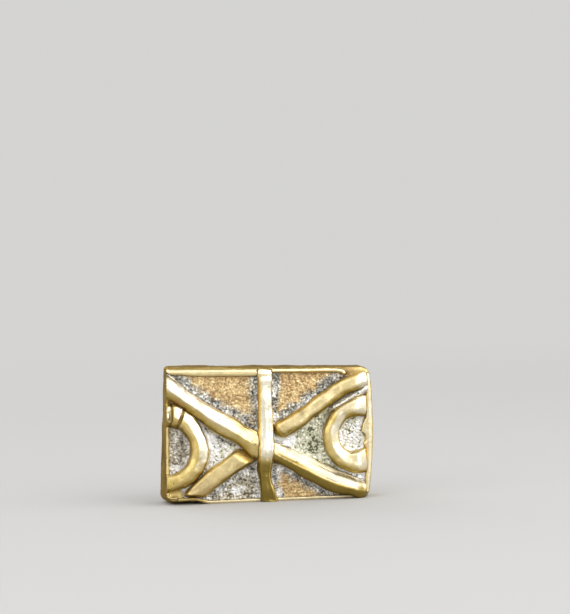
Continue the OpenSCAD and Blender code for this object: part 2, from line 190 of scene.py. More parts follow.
# Plain spots beside the left crescent's ends, as X, Z and radius. The first is the golden corner.
PLAIN_SPOTS = [(-9.5, 0.75, 1.7), (-9.8, 9.85, 1.2)]
PLAIN_EDGE = (0.2, 0.6)
# White strips and broken white patches on the floor: from, to and reach
WHITE_STRIPS = [
    ((6.8, 9.1), (10.0, 10.9), 0.8),
    ((7.6, 2.6), (10.0, 1.9), 0.9),
    ((-8.6, 1.2), (-5.9, 4.2), 0.6),
    ((-5.6, 6.3), (-5.2, 4.6), 1.0),
    ((1.3, 5.9), (2.3, 6.1), 1.1),
]
WHITE_PATCHES = [
    ((1.2, 0.8), (1.1, 3.4), 0.45),
    ((0.9, 7.6), (0.9, 11.0), 0.45),
    ((-3.6, 0.9), (-3.0, 1.2), 0.8),
    ((-9.6, 3.4), (-9.1, 3.7), 0.9),
]
# The first white strip is a raised ledge
LEDGE_RISE = 0.85

# Uneven skin: distance between bumps, height and layers
THREAD_WAVES = (2.4, 0.13, 2)
THREAD_SKIN = (0.5, 0.01, 2)
RIM_WAVES = (1.4, 0.02, 2)
RIM_SKIN = (0.35, 0.01, 1)
SLAB_SKIN = ((2.6, 0.06, 3), (0.4, 0.016, 2))
FLOOR_WAVES = (0.8, 0.035)
# The floor's grains: size, height, and how much of that is gone where the floor is white
GRAIN_SIZE, GRAIN_HEIGHT, GRAIN_WORN = 0.32, 0.08, 0.7
# Dents: how many, radii and depths
THREAD_DENTS = (14, (0.25, 0.7), (0.015, 0.04))
BACK_DENTS = (120, (0.08, 0.28), (0.02, 0.07))
# Height above the face below which the back's dents lie
BACK_HEIGHT = -0.6
# The seeds of the noise. Threads and strips add their index to theirs.
FLOOR_SEED, PATCHY_SEED, BLOTCHY_SEED = SEED + 1, SEED + 4, SEED + 5
SKIN_SEEDS, BACK_SEED, HANDLED_SEED = (SEED + 2, SEED + 3), SEED + 6, SEED + 7
THREAD_SKIN_SEED, RIM_WAVE_SEED, RIM_SKIN_SEED = SEED + 20, SEED + 40, SEED + 60
WORN_SEED, RAGGED_SEED = SEED + 80, SEED + 90

# Flats rubbed by handling: the way that each faces, the thread's radius, and the depth as a share of it
UP_RIGHT = (0.35, -0.8, 0.5)
RIGHTWARD = (0.45, -0.88, 0.1)
FORWARD = (0, -1, 0)
UP_FORWARD = (0, -0.8, 0.6)
WORN = {
    "long_diagonal": (UP_RIGHT, 0.9, 0.18),
    "centre_rib": ((0.22, -0.96, 0.13), 0.75, 0.2),
    "left_crescent": ((0.5, -0.84, 0.2), 0.9, 0.14),
    "right_crescent": (RIGHTWARD, 0.82, 0.12),
    "upper_right_arm": ((-0.1, -1, 0.15), 0.85, 0.08),
    "lower_left_arm": ((-0.1, -1, 0.1), 0.75, 0.08),
    "top_left_rim": (UP_FORWARD, 0.4, 0.35),
    "top_right_rim": (UP_FORWARD, 0.35, 0.25),
}
# How pale the flats are, as bare metal and painted highlight, and where that is not the usual share
USUAL_SHARE = 0.85
WEAR_AND_HIGHLIGHT_SHARE = {
    "upper_right_arm": 0.3,
    "lower_left_arm": 0.2,
    "left_rim": 0.2,
    "corner_rim": 0.2,
    "right_rim": 0.6,
}
# Pits on the threads' fronts: places, radius and depth, and where in them it grows dark
PITS = {
    "long_diagonal": ([(2.85, 3.95), (-1.57, 6.15), (-1.25, 5.75), (-4.7, 8.45)], 0.13, 0.06),
    "left_crescent": ([(-9.75, 2.2)], 0.14, 0.06),
    "upper_right_arm": ([(1.7, 6.75), (2.1, 6.9)], 0.14, 0.05),
}
PIT_EDGE = (0.2, 0.8)
# The scribed marks: half width from middle to edge, depth, angles about the left recess, least height
MARK_HALF = (0.04, 0.22)
MARK_DEPTH = 0.12
MARK_ANGLES = (65, 83)
MARK_HEIGHT = 0.4

# The photograph's view: angles at the middle of the weight, and where that middle lies in the picture
VIEW_AZIMUTH = math.radians(-5.5)
VIEW_ELEVATION = math.radians(5.0)
VIEW_ROLL = math.radians(-1.8)
VIEW_POINT = Vector((0, 0, 6.6)) * MM
VIEW_PIXEL = (265.3, 434.0)
PIXELS_PER_MM = 10
FOCAL_PIXELS = 2400
PICTURE = (570, 614)
SENSOR_MM = 36


# Noise on points in millimetres, the same on each run

HASH_FACTORS = (374761393, 668265263, 2246822519, 3266489917)
HASH_STIR = 1274126177
HASH_SPAN = 1 << 24
# A distance in cells that no grain's middle reaches, and how steeply grains rise from their seams
FAR_CELLS = 9.0
GRAIN_STEEPNESS = 1.6


def hashed(cells, seed):
    """A number from 0 to 1 for each lattice cell."""
    keys = cells @ np.array(HASH_FACTORS[:3], dtype=np.int64) + seed * HASH_FACTORS[3]
    keys = (keys ^ (keys >> 13)) * HASH_STIR
    keys = (keys ^ (keys >> 16)) * HASH_STIR
    return ((keys ^ (keys >> 15)) & (HASH_SPAN - 1)) / HASH_SPAN


def noise(points, size, seed):
    """Smooth noise of about -1 to 1 whose bumps are about size apart."""
    scaled = points / size
    base = np.floor(scaled).astype(np.int64)
    inner = scaled - base
    ease = inner * inner * (3 - 2 * inner)
    total = np.zeros(len(points))
    for corner in itertools.product((0, 1), repeat=3):
        step = np.array(corner)
        weight = np.prod(np.where(step, ease, 1 - ease), axis=1)
        slope = np.stack([hashed(base + step, seed + axis) for axis in range(3)], axis=1) * 2 - 1
        total += weight * np.sum(slope * (inner - step), axis=1)
    return total * 2


def layered(points, size, seed, layers=3):
    """Noise with finer noise on it, each layer half the size and half the height of the last."""
    parts = [noise(points, size / 2**i, seed + 10 * i) / 2**i for i in range(layers)]
    return sum(parts)


def grains(points, size, seed):
    """Rounded grains packed side by side: 1 on a grain's middle, 0 between grains."""
    scaled = points / size
    base = np.floor(scaled).astype(np.int64)
    nearest = np.full((len(points), 2), FAR_CELLS)
    for offset in itertools.product((-1, 0, 1), repeat=3):
        cell = base + np.array(offset)
        centre = cell + np.stack([hashed(cell, seed + axis) for axis in range(3)], axis=1)
        distance = np.linalg.norm(scaled - centre, axis=1)
        second = np.minimum(nearest[:, 1], np.maximum(nearest[:, 0], distance))
        nearest = np.stack([np.minimum(nearest[:, 0], distance), second], axis=1)
    return np.clip((nearest[:, 1] - nearest[:, 0]) * GRAIN_STEEPNESS, 0, 1)


def rise(values, low, high):
    """0 below low, 1 above high and smooth between."""
    share = np.clip((values - low) / (high - low), 0, 1)
    return share * share * (3 - 2 * share)


def fall(values, low, high):
    """1 below low, 0 above high and smooth between."""
    return rise(-values, -high, -low)


def fall_off(distances, reach):
    """1 at distance 0 and 0 from the reach outwards."""
    return 1 - rise(distances, 0, reach)


def highest(values):
    """The highest of some values at each point."""
    return np.maximum.reduce(list(values))


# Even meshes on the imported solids


def new_object(name, data):
    """A new object in the scene."""
    made = bpy.data.objects.new(name, data)
    bpy.context.scene.collection.objects.link(made)
    return made


def read_rows(items, name, width, kind):
    """A value of each vertex or edge, as rows of a width."""
    values = np.empty(len(items) * width, kind)
    items.foreach_get(name, values)
    return values.reshape(-1, width)


def coordinate(axis):
    """A property that reads and sets one coordinate of all points."""

    def read(cast):
        return cast.points[:, axis]

    def write(cast, values):
        cast.points[:, axis] = values

    return property(read, write)


class Cast:
    """One cast piece: an even mesh of a node, shaped in millimetres and then written in metres.

    The mesh is evened with the slope laid level, so that a sloping strip gets no steps.
    """

    def __init__(self, node, voxel, rounds, slope=0.0):
        self.node = node
        self.body = new_object(node + "_cast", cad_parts[node].data.copy())
        level = Matrix.Rotation(math.atan(slope), 4, "Y")
        self.body.data.transform(level @ Matrix.Scale(1 / MM, 4))
        weld = self.body.modifiers.new("weld", "WELD")
        weld.merge_threshold = voxel / 100
        even = self.body.modifiers.new("even", "REMESH")
        even.mode = "VOXEL"
        even.voxel_size = voxel
        soft = self.body.modifiers.new("soft", "SMOOTH")
        soft.iterations = rounds
        evaluated = self.body.evaluated_get(bpy.context.evaluated_depsgraph_get())
        mesh = bpy.data.meshes.new_from_object(evaluated)
        self.body.modifiers.clear()
        self.body.data = mesh
        mesh.transform(level.inverted())
        mesh.materials.clear()
        self.points = read_rows(mesh.vertices, "co", 3, np.float32).astype(float)
        self.edges = read_rows(mesh.edges, "vertices", 2, np.int32)
        self.marks = {}
        self.pits = np.zeros(len(self.points))
        self.scribed = np.zeros(len(self.points))

    x, y, z = coordinate(0), coordinate(1), coordinate(2)

    def height(self):
        """Height above the face."""
        return FACE_Y - self.y

    def inside(self):
        """How far each point lies inside the slab's left side."""
        return self.x - left_edge_x(self.z)

    def near(self, x, z, radius):
        """1 at a place on the face and 0 from the radius outwards."""
        return fall_off(np.hypot(self.x - x, self.z - z), radius)

    def along(self, start, end, reach):
        """1 on a line on the face, given by its ends, and 0 from the reach outwards."""
        start, end = np.array(start), np.array(end)
        offsets = self.points[:, (0, 2)] - start
        share = np.clip(offsets @ (end - start) / ((end - start) @ (end - start)), 0, 1)
        return fall_off(np.linalg.norm(offsets - share[:, None] * (end - start), axis=1), reach)

    def normals(self):
        """The normals of the present shape."""
        mesh = self.body.data
        mesh.vertices.foreach_set("co", self.points.astype(np.float32).ravel())
        mesh.update()
        return read_rows(mesh.vertices, "normal", 3, np.float32).astype(float)

    def push(self, amounts, directions=None):
        """Moves each point by its amount, outwards unless directions are given."""
        if directions is None:
            directions = self.normals()
        self.points += directions * np.asarray(amounts)[:, None]

    def spread(self, values, rounds):
        """Values evened out over neighbouring points."""
        count = len(self.points)
        links = np.bincount(self.edges.ravel(), minlength=count)
        for _ in range(rounds):
            sums = np.bincount(self.edges[:, 0], values[self.edges[:, 1]], count)
            sums += np.bincount(self.edges[:, 1], values[self.edges[:, 0]], count)
            values = (values + sums / links) / 2
        return values

    def evened(self, rounds):
        """The points, each drawn towards its neighbours."""
        return np.stack([self.spread(self.points[:, axis], rounds) for axis in range(3)], axis=1)

    def soften(self, rounds):
        """Rounds off edges."""
        self.points = self.evened(rounds)

    def bend(self, rounds):
        """How far each point stands out from its neighbours: above 0 on ridges, below 0 in hollows."""
        return np.sum((self.points - self.evened(rounds)) * self.normals(), axis=1)

    def at_least(self, name, values):
        """Raises a mark to the values where it is lower."""
        self.marks[name] = np.maximum(self.marks[name], values)

    def fade(self, name, share):
        """Lowers a mark by a share of it."""
        self.marks[name] = self.marks[name] * (1 - share)

    def finish(self, material, slot):
        """Writes the shape and its marks, hangs the piece on the root body and hides the node that it
        stands for.
        """
        self.z = np.maximum(self.z, SLAB_LOW[2])
        mesh = self.body.data
        mesh.vertices.foreach_set("co", (self.points * MM).astype(np.float32).ravel())
        for name, values in self.marks.items():
            layer = mesh.attributes.new(name, "FLOAT", "POINT")
            layer.data.foreach_set("value", np.clip(values, 0, 1).astype(np.float32))
        mesh.shade_smooth()
        mesh.materials.append(material)
        mesh.update()
        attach(self.body, "root")
        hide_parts(self.node)


def slope_of(node):
    """How steeply a strip runs from left to right."""
    corners = np.array([vertex.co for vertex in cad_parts[node].data.vertices])
    return np.polyfit(corners[:, 0], corners[:, 2], 1)[0]


def tree_of(casts):
    """The points of some pieces, and a tree to find the nearest of them."""
    points = np.concatenate([cast.points for cast in casts])
    tree = kdtree.KDTree(len(points))
    for index, point in enumerate(points):
        tree.insert(point, index)
    tree.balance()
    return points, tree


def nearest_in(cast, points, tree):
    """The nearest point of a tree for each point of a piece, as offsets and distances."""
    found = np.array([tree.find(point)[1] for point in cast.points])
    offsets = points[found] - cast.points
    return offsets, np.linalg.norm(offsets, axis=1)


# Wear and casting marks

slab_corners = np.array([vertex.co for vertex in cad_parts["slab"].data.vertices]) / MM
upper_corners = slab_corners[slab_corners[:, 2] > slab_corners[:, 2].mean()]
LEFT_EDGE = (slab_corners[slab_corners[:, 0].argmin()], upper_corners[upper_corners[:, 0].argmin()])


def left_edge_x(z):
    """Where the slab's left side lies at a height."""
    lower, upper = LEFT_EDGE
    return np.interp(z, (lower[2], upper[2]), (lower[0], upper[0]))


def root_in_slab(cast):
    """Takes the foot of a thread or strip down into the slab, so that no gap shows under it."""
    low, high = ROOT_HEIGHTS
    depth = rise(cast.y, FACE_Y - high, FACE_Y - low)
    cast.y += depth * ROOT_DEPTH
    cast.x += depth * np.maximum(0, ROOT_INSET - cast.inside())


def draft_left(cast, share):
    """Leans the left side in towards the face, most at its lower end, by a share for each point."""
    lean = LEFT_DRAFT * (1 - cast.z / SLAB_HIGH[2])
    cast.x += lean * share * fall_off(cast.inside(), DRAFT_REACH)


def draft_below(cast, share):
    """Leans the lower side in towards the face at its left end, by a share for each point."""
    lift = LOWER_DRAFT * fall(cast.x, *LOWER_DRAFT_X)
    cast.z += lift * share * fall_off(cast.z, LOWER_DRAFT_REACH)


def midline(cast, side):
    """Height of the diagonal's middle at each point's X, for the side of the rib at -X or +X."""
    part = cast.points[side * cast.x > TILT_BESIDE[0]]
    return np.polyval(np.polyfit(part[:, 0], part[:, 2], 3), cast.x)


def tilt_facet(cast, side, tilt):
    """Tilts the upper half of the diagonal, so that it faces up, on the side of the rib at -X or +X."""
    upper = np.maximum(0, cast.z - midline(cast, side))
    share = rise(side * cast.x, *TILT_BESIDE) * rise(cast.height(), *TILT_HEIGHTS)
    cast.y += np.minimum(tilt * upper, TILT_LIMIT * np.maximum(cast.height(), 0)) * share


def square_left_end(cast):
    """Squares a thread's end on the slab's left side, where one stroke cut both."""
    inside = cast.inside()
    end = (inside < LEFT_END) & (cast.y < FACE_Y)
    cast.x -= np.where(end, inside, 0)


def meet_right_strip(cast):
    """Bends a thread's end down into the right strip."""
    end = cast.x.max()
    share = rise(cast.x, end - RIGHT_END, end)
    cast.x += share * RIGHT_REACH
    sink(cast, share * RIGHT_BEND)


def sink(cast, share):
    """Lowers a thread's crest by a share of its height."""
    cast.y += share * np.maximum(cast.height(), 0)


def swell(cast, outward, amounts, facing=SWELL_FACING):
    """Takes the flank that faces outwards further out by the amounts."""
    share = rise(cast.normals() @ outward, *facing)
    cast.points += (share * amounts)[:, None] * outward


def unit(direction):
    """The direction at length 1."""
    return np.array(direction) / np.linalg.norm(direction)


def wear_flat(cast, towards, radius, share):
    """Rubs a flat on a round thread, facing a direction and as deep as a share of its radius."""
    normals = cast.normals()
    facing = np.maximum(normals @ unit(towards), LEAST_FACING)
    depth = np.maximum(0, radius - radius * (1 - share) / facing)
    depth[facing < 1 - share] = 0
    cast.push(-depth, normals)


def hollow_out(cast, places, radii, depths):
    """Presses round dents into a piece and says how deep in a dent each point lies, from 0 to 1."""
    amounts = np.zeros(len(cast.points))
    inside = np.zeros(len(cast.points))
    for place, radius, depth in zip(places, radii, depths):
        share = np.exp(-2 * (np.linalg.norm(cast.points - place, axis=1) / radius) ** 2)
        amounts += depth * share
        inside = np.maximum(inside, share)
    cast.push(-amounts)
    return inside


def dent(cast, where, count, radii, depths, seed):
    """Dents at random places among the points that where picks."""
    draw = np.random.default_rng(seed)
    places = cast.points[draw.choice(np.flatnonzero(where), count)]
    return hollow_out(cast, places, draw.uniform(*radii, count), draw.uniform(*depths, count))


def pit(cast, spots, radius, depth):
    """Small pits at chosen places on a thread's front, dark inside."""
    front = cast.points[cast.height() > THREAD_FRONT]
    places = [front[np.hypot(front[:, 0] - x, front[:, 2] - z).argmin()] for x, z in spots]
    inside = hollow_out(cast, places, [radius] * len(places), [depth] * len(places))
    cast.pits = np.maximum(cast.pits, rise(inside, *PIT_EDGE))


def scribe(cast, angles):
    """Deepens the scribed marks across the left crescent, each along a radius at its angle."""
    offsets = cast.points[:, (0, 2)] - LEFT_RECESS[:2]
    for angle in np.radians(angles):
        outwards = offsets @ (math.cos(angle), math.sin(angle))
        beside = np.abs(offsets @ (-math.sin(angle), math.cos(angle)))
        share = (1 - rise(beside, *MARK_HALF)) * (outwards > 0) * (cast.height() > MARK_HEIGHT)
        cast.push(-share * MARK_DEPTH)
        cast.scribed = np.maximum(cast.scribed, share)


def roughen(cast, size, height, layers, seed):
    """Uneven cast skin."""
    cast.push(layered(cast.points, size, seed, layers) * height)


# Materials

GOLD = (0.90, 0.71, 0.30)
DEEP_GOLD = (0.76, 0.56, 0.18)
# Pale bare brass, also used as painted highlight where flanks face the light
PALE_WEAR_AND_HIGHLIGHT = (0.98, 0.94, 0.79)
# Olive patina, also used as painted shade on flanks that face down
OLIVE_PATINA_AND_SHADE = (0.25, 0.18, 0.035)
SPECK = (0.38, 0.26, 0.09)
# Brown stains, also used as painted shade on the diagonal's lower flank
STAIN_AND_SHADE = (0.36, 0.22, 0.09)
# Grime, also used as painted shade in crevices and below threads
GRIME_AND_SHADE = (0.045, 0.03, 0.018)
# The floor's colours, each dark, middle and light
TAN = ((0.40, 0.26, 0.13), (0.72, 0.51, 0.245), (0.96, 0.80, 0.45))
GREY = ((0.075, 0.075, 0.07), (0.36, 0.35, 0.31), (0.92, 0.905, 0.85))
SILVER = ((0.12, 0.125, 0.08), (0.64, 0.63, 0.46), (0.97, 0.96, 0.83))
WHITE = (0.96, 0.955, 0.94)
SIDE_OLIVE = (0.24, 0.165, 0.045)
SIDE_GOLD = (0.46, 0.325, 0.105)
# Clouds: size, detail, the noise where they begin and end, and what they are there if not 0 and 1
GOLD_CLOUDS = (1.5, 3, 0.4, 0.7)
BLOTCHES = (0.45, 3, 0.48, 0.7, 0, 0.45)
SPECKS = (0.16, 2, 0.58, 0.76, 0, 0.4)
WORMS = (0.22, 1.5, 0.36, 0.64)
PATCHES = (0.7, 2, 0.36, 0.64)
SIDE_CLOUDS = (3.0, 5, 0.3, 0.68)
SIDE_BLOTCHES = (0.6, 4, 0.5, 0.7, 0, 0.55)
# Surfaces: tint of the reflections at grazing angles, clouds of roughness, how much rougher the
# grime and painted shade are, and how metallic bare brass and that grime and shade are
THREAD_SURFACE = ((0.85, 0.68, 0.34), (0.35, 3, 0.3, 0.7, 0.3, 0.44), 0.35, (1, 0.4))
SLAB_SURFACE = ((0.45, 0.35, 0.18), (0.3, 3, 0.3, 0.7, 0.3, 0.46), 0.3, (0.85, 0.3))
# How much the worms, the grains and the patches lighten the floor
WORM_LEVEL, GRAIN_LEVEL, PATCH_LEVEL = 0.45, 0.28, 0.27
# Levels at which the floor goes from dark to middle, from middle to light, and from bare to white
LOWER_TONES, UPPER_TONES, WHITE_TONES = (0.08, 0.45), (0.5, 0.85), (0.02, 0.22)
# Size and depth of the finest relief on threads and slab, and how it is stretched
FINE_SIZE, FINE_DEPTH = 0.18, 0.022
SCRATCH_SIZE, SCRATCH_DEPTH, SCRATCH_STRETCH = 0.06, 0.004, (1, 1, 0.25)
SKIN_SIZE, SKIN_DEPTH, SKIN_STRETCH, SKIN_SHARE = 0.07, 0.03, (0.15, 1, 1), 0.4
# Sockets of a node that mixes colours: share, first colour and second colour, and the output
MIX_INPUTS, MIX_OUTPUT = (0, 6, 7), 2


def plug(tree, socket, value):
    """Sets a socket, or links it to another node's output."""
    if isinstance(value, bpy.types.NodeSocket):
        tree.links.new(value, socket)
    elif isinstance(value, tuple) and len(value) == 3 and len(socket.default_value) == 4:
        socket.default_value = (*value, 1)
    else:
        socket.default_value = value


def blend(tree, share, first, second):
    """Colour from first to second as share goes from 0 to 1."""
    node = tree.nodes.new("ShaderNodeMix")
    node.data_type = "RGBA"
    for index, value in zip(MIX_INPUTS, (share, first, second)):
        plug(tree, node.inputs[index], value)
    return node.outputs[MIX_OUTPUT]


def between(tree, value, low, high, first=0.0, last=1.0):
    """A value mapped smoothly from low..high to first..last."""
    node = tree.nodes.new("ShaderNodeMapRange")
    node.interpolation_type = "SMOOTHSTEP"
    for index, setting in enumerate((value, low, high, first, last)):
        plug(tree, node.inputs[index], setting)
    return node.outputs[0]


def calc(tree, how, first, second):
    """Sum, product or the like of two values."""
    node = tree.nodes.new("ShaderNodeMath")
    node.operation = how
    plug(tree, node.inputs[0], first)
    plug(tree, node.inputs[1], second)
    return node.outputs[0]


def times(tree, first, second):
    """Product of two values."""
    return calc(tree, "MULTIPLY", first, second)


def plus(tree, first, second):
    """Sum of two values."""
    return calc(tree, "ADD", first, second)


def mark(tree, name):
    """A value that the mesh holds for each point."""
    node = tree.nodes.new("ShaderNodeAttribute")
    node.attribute_name = name
    return node.outputs["Fac"]


def millimetres(tree, stretch=(1, 1, 1)):
    """Places on the piece, in millimetres."""
    place = tree.nodes.new("ShaderNodeTexCoord")
    scale = tree.nodes.new("ShaderNodeMapping")
    scale.inputs["Scale"].default_value = [s / MM for s in stretch]
    tree.links.new(place.outputs["Object"], scale.inputs["Vector"])
    return scale.outputs["Vector"]


def cloud(tree, place, size, detail=3.0):
    """Cloudy noise whose bumps are about size apart."""
    node = tree.nodes.new("ShaderNodeTexNoise")
    plug(tree, node.inputs["Vector"], place)
    node.inputs["Scale"].default_value = 1 / size
    node.inputs["Detail"].default_value = detail
    return node.outputs["Fac"]


def clouds(tree, place, size, detail, *levels):
    """Cloudy noise, mapped smoothly to the levels."""
    return between(tree, cloud(tree, place, size, detail), *levels)


def new_material(name):
    """A new material with its tree and its shader."""
    material = bpy.data.materials.new(name)
    material.use_nodes = True
    tree = material.node_tree
    return material, tree, tree.nodes["Principled BSDF"]


def bumped(tree, height, depth, base=None):
    """A normal for a fine relief of that depth in millimetres."""
    node = tree.nodes.new("ShaderNodeBump")
    node.inputs["Distance"].default_value = depth * MM
    plug(tree, node.inputs["Height"], height)
    if base is not None:
        plug(tree, node.inputs["Normal"], base)
    return node.outputs["Normal"]


def three_tones(tree, level, dark, middle, light):
    """Colour from dark through middle to light as the level rises."""
    lower = blend(tree, between(tree, level, *LOWER_TONES), dark, middle)
    return blend(tree, between(tree, level, *UPPER_TONES), lower, light)


def set_surface(tree, shader, colour, surface):
    """Plugs in a colour, with grime and painted shade in the crevices, and the other values of a
    surface.
    """
    tint, roughness, hollow_rougher, metal = surface
    # grime, with painted shade in the crevices
    shade_and_grime = mark(tree, "shade_and_grime")
    plug(tree, shader.inputs["Base Color"], blend(tree, shade_and_grime, colour, GRIME_AND_SHADE))
    plug(tree, shader.inputs["Specular Tint"], tint)
    uneven = clouds(tree, millimetres(tree), *roughness)
    rough = plus(tree, uneven, times(tree, shade_and_grime, hollow_rougher))
    plug(tree, shader.inputs["Roughness"], rough)
    plug(tree, shader.inputs["Metallic"], between(tree, shade_and_grime, 0, 1, *metal))


def thread_brass():
    """Brass: golden, paler on worn flats with painted highlight where they face the light, olive patina
    with painted shade on downward flanks, and grime with painted shade in the crevices.
    """
    material, tree, shader = new_material("thread_brass")
    place = millimetres(tree)
    colour = blend(tree, clouds(tree, place, *GOLD_CLOUDS), GOLD, DEEP_GOLD)
    colour = blend(tree, clouds(tree, place, *BLOTCHES), colour, DEEP_GOLD)
    # paler wear, with painted highlight where a flank faces the light
    colour = blend(tree, mark(tree, "wear_and_highlight"), colour, PALE_WEAR_AND_HIGHLIGHT)
    colour = blend(tree, clouds(tree, place, *SPECKS), colour, SPECK)
    # olive patina, with painted shade on flanks that face down
    colour = blend(tree, mark(tree, "patina_and_shade"), colour, OLIVE_PATINA_AND_SHADE)
    # brown stains, with painted shade on the diagonal's lower flank
    colour = blend(tree, mark(tree, "stain_and_shade"), colour, STAIN_AND_SHADE)
    set_surface(tree, shader, colour, THREAD_SURFACE)
    scratches = cloud(tree, millimetres(tree, SCRATCH_STRETCH), SCRATCH_SIZE, 2)
    fine = bumped(tree, cloud(tree, place, FINE_SIZE), FINE_DEPTH)
    plug(tree, shader.inputs["Normal"], bumped(tree, scratches, SCRATCH_DEPTH, fine))
    return material


def slab_brass():
    """Granular cast floor, tan, grey or silvery by field, and olive sides and back."""
    material, tree, shader = new_material("slab_brass")
    place = millimetres(tree)
    on_floor = mark(tree, "floor")
    worms = clouds(tree, place, *WORMS)
    patches = clouds(tree, place, *PATCHES)
    level = times(tree, worms, WORM_LEVEL)
    level = plus(tree, level, times(tree, mark(tree, "grain"), GRAIN_LEVEL))
    level = plus(tree, level, times(tree, patches, PATCH_LEVEL))
    warm = three_tones(tree, level, *TAN)
    floor = blend(tree, mark(tree, "silvery"), warm, three_tones(tree, level, *SILVER))
    floor = blend(tree, mark(tree, "greyed"), floor, three_tones(tree, level, *GREY))
    whitened = times(tree, mark(tree, "white"), between(tree, level, *WHITE_TONES))
    floor = blend(tree, whitened, floor, WHITE)
    side = blend(tree, clouds(tree, place, *SIDE_CLOUDS), SIDE_OLIVE, SIDE_GOLD)
    side = blend(tree, clouds(tree, place, *SIDE_BLOTCHES), side, SIDE_OLIVE)
    colour = blend(tree, on_floor, side, floor)
    colour = blend(tree, mark(tree, "wear_and_highlight"), colour, GOLD)
    colour = blend(tree, mark(tree, "stain_and_shade"), colour, STAIN_AND_SHADE)
    set_surface(tree, shader, colour, SLAB_SURFACE)
    skin = times(tree, cloud(tree, millimetres(tree, SKIN_STRETCH), SKIN_SIZE, 2), SKIN_SHARE)
    height = plus(tree, skin, times(tree, worms, on_floor))
    plug(tree, shader.inputs["Normal"], bumped(tree, height, SKIN_DEPTH))
    return material


# The shapes of the pieces


def shape_threads(pieces):
    """Gives the threads their widths and skin, and rubs flats on them and on the upper strips."""
    for node, outward, axis, (places, amounts) in WIDENED:
        cast = pieces[node]
        swell(cast, outward, np.interp(cast.points[:, axis], places, amounts))
    for side, tilt in FACET_TILTS:
        tilt_facet(pieces["long_diagonal"], side, tilt)
    for node, (towards, radius, share) in WORN.items():
        wear_flat(pieces[node], towards, radius, share)
    for index, node in enumerate(THREADS):
        cast = pieces[node]
        cast.soften(DIAGONAL_SOFTENED if node == "long_diagonal" else SOFTENED)
        roughen(cast, *THREAD_WAVES, SEED + index)
        dent(cast, cast.height() > THREAD_FRONT, *THREAD_DENTS, SEED + index)
        roughen(cast, *THREAD_SKIN, THREAD_SKIN_SEED + index)
    for node, (spots, radius, depth) in PITS.items():
        pit(pieces[node], spots, radius, depth)
    scribe(pieces["left_crescent"], MARK_ANGLES)


def place_ends(pieces):
    """Takes the threads' ends to the sides and strips, under each other or into the lower lip."""
    for node in ("long_diagonal", "left_crescent"):
        square_left_end(pieces[node])
    for node in ("long_diagonal", "upper_right_arm", "right_crescent"):
        meet_right_strip(pieces[node])
    lower_arm = pieces["lower_left_arm"]
    lower_arm.x += fall(lower_arm.x, *ARM_SHIFT_X) * ARM_SHIFT
    sink(lower_arm, fall(lower_arm.z, *ARM_FOOT_Z) * ARM_FOOT_DIP)
    across = (lower_arm.points[:, (0, 2)] - ARM_DIP_POINT) @ ARM_DIP_NORMAL
    sink(lower_arm, rise(across, *ARM_DIP_RANGE) * ARM_DIP)
    pieces["upper_right_arm"].z -= ARM_DROP
    rib = pieces["centre_rib"]
    sink(rib, rise(rib.z, *RIB_TOP_Z) * RIB_TOP_DIP)
    sink(rib, fall(rib.z, *RIB_FOOT_Z) * RIB_FOOT_DIP)
    rib.z -= rise(rib.z, *RIB_SHORT_Z) * RIB_SHORT
    for node, middle, outwards, side, flanks in END_SWELLS:
        cast = pieces[node]
        end = rise(np.abs(cast.x), *outwards) * (side * (cast.z - middle) > 0)
        for upwards, amount in flanks:
            swell(cast, (0, 0, upwards), end * amount)


def shape_strips(pieces):
    """Gives the strips their outer flanks, their skin, their ends and the ragged inner edge."""
    for node, outward in STRIP_SIDES.items():
        swell(pieces[node], outward, STRIP_FLUSH, FLUSH_FACING)
    for index, node in enumerate(RIMS):
        roughen(pieces[node], *RIM_WAVES, RIM_WAVE_SEED + index)
        roughen(pieces[node], *RIM_SKIN, RIM_SKIN_SEED + index)
    lip = pieces["bottom_left_rim"]
    lip_end = fall(lip.x, *LIP_END_X)
    lip.x -= lip_end * LIP_REACH
    lip.y -= lip_end * (lip.height() > LIP_FOOT) * LIP_RISE
    strip = pieces["right_rim"]
    swell(strip, (0, 0, 1), STRIP_END_RISE * (strip.z > STRIP_END_Z))
    ragged = np.maximum(0, layered(strip.points, RAGGED_SIZE, RAGGED_SEED, 2)) * RAGGED_WIDTH
    inner_edge = strip.near(*STRIP_BULGE) * BULGE_WIDTH + ragged * strip.near(*STRIP_RAGGED)
    swell(strip, (-1, 0, 0), inner_edge)
    strip = pieces["top_left_rim"]
    swell(strip, (0, 0, -1), rise(strip.x, *TOP_LEFT_X) * TOP_LEFT_WIDER)
    for node in TOP_STRIPS:
        swell(pieces[node], (0, 0, 1), -TOP_SET_BACK)


def lean_sides(slab, pieces):
    """Leans the left side and the lower left end in towards the face."""
    for cast in pieces.values():
        draft_left(cast, 1)
        draft_below(cast, 1)
    to_face = np.clip((SLAB_HIGH[1] - slab.y) / (SLAB_HIGH[1] - FACE_Y), 0, 1)
    draft_left(slab, to_face)
    draft_below(slab, to_face**LOWER_DRAFT_POWER)


def fillet(distances, reach, height):
    """How far the floor rises at some distances from a thread or strip."""
    return height * np.maximum(0, 1 - distances / reach) ** 2


